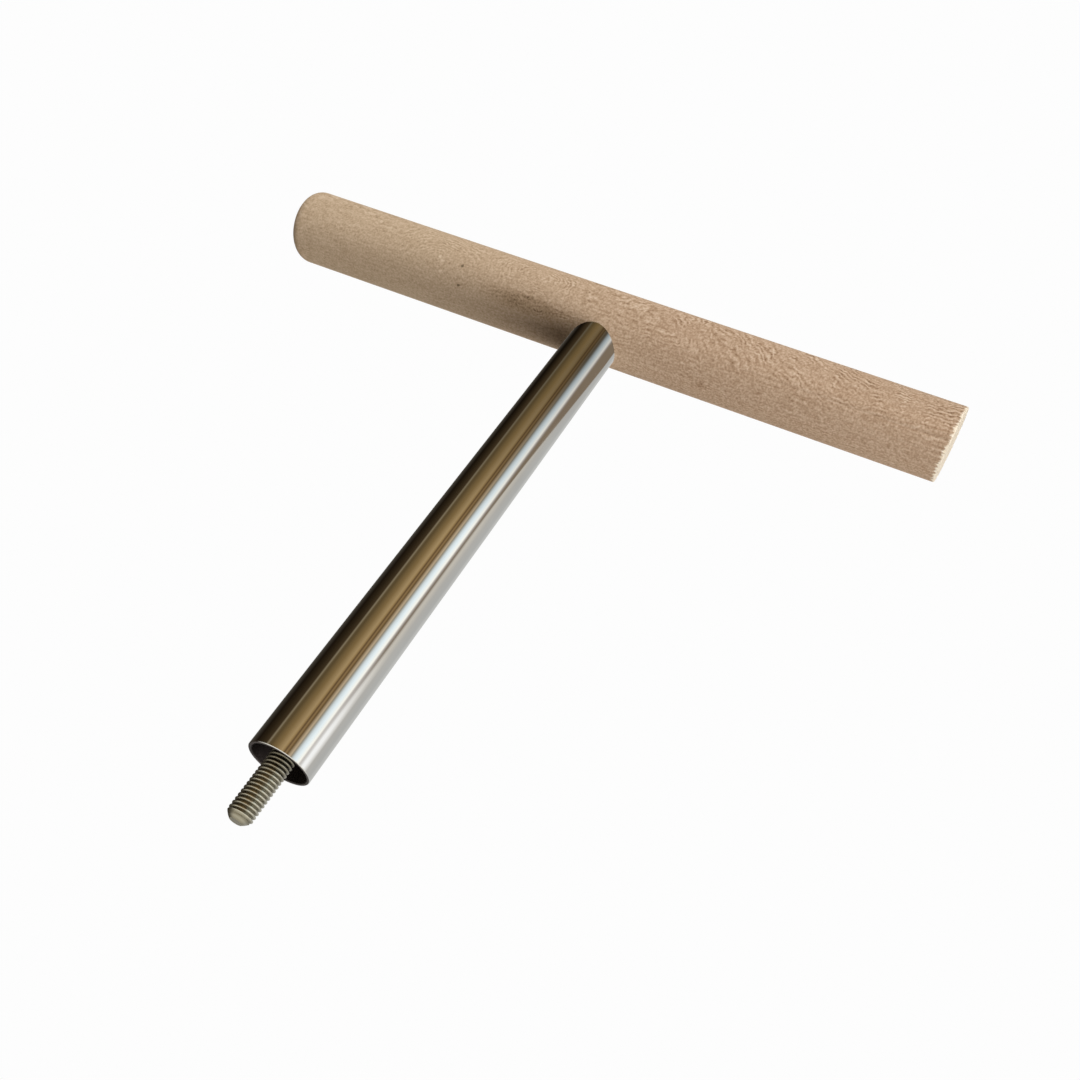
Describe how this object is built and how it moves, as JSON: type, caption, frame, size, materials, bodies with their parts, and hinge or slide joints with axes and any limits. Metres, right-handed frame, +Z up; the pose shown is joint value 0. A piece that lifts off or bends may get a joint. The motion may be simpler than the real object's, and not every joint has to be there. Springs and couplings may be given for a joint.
{
  "type": "bird t-stand perch head",
  "caption": "T-shaped bird perch head: a round wooden crossbar on a bright plated tube, with a threaded stud below that screws into a base.",
  "frame": {"origin": "centre of the tube's lower rim, on the stud's axis, where the head seats on its base", "axes": "+Z up the tube to the crossbar, +X along the crossbar towards its sawn end, -Y towards the picture's camera"},
  "size_m": [0.2834, 0.03, 0.251],
  "materials": {
    "perch_wood": "bare sanded pale hardwood with ray flecks",
    "tube_chrome": "bright chrome plate on steel tube",
    "stud_steel": "dull rolled steel thread",
    "insert_brass": "turned brass",
    "plated_steel": "zinc-plated steel",
    "bush_nylon": "black moulded nylon"
  },
  "bodies": {
    "root": {"perch_dowel": "perch_wood", "stem_tube": "tube_chrome", "tie_rod": "stud_steel", "insert_nut": "insert_brass", "lock_washer": "plated_steel", "lock_nut": "plated_steel", "centring_bush": "bush_nylon"}
  },
  "joints": []
}
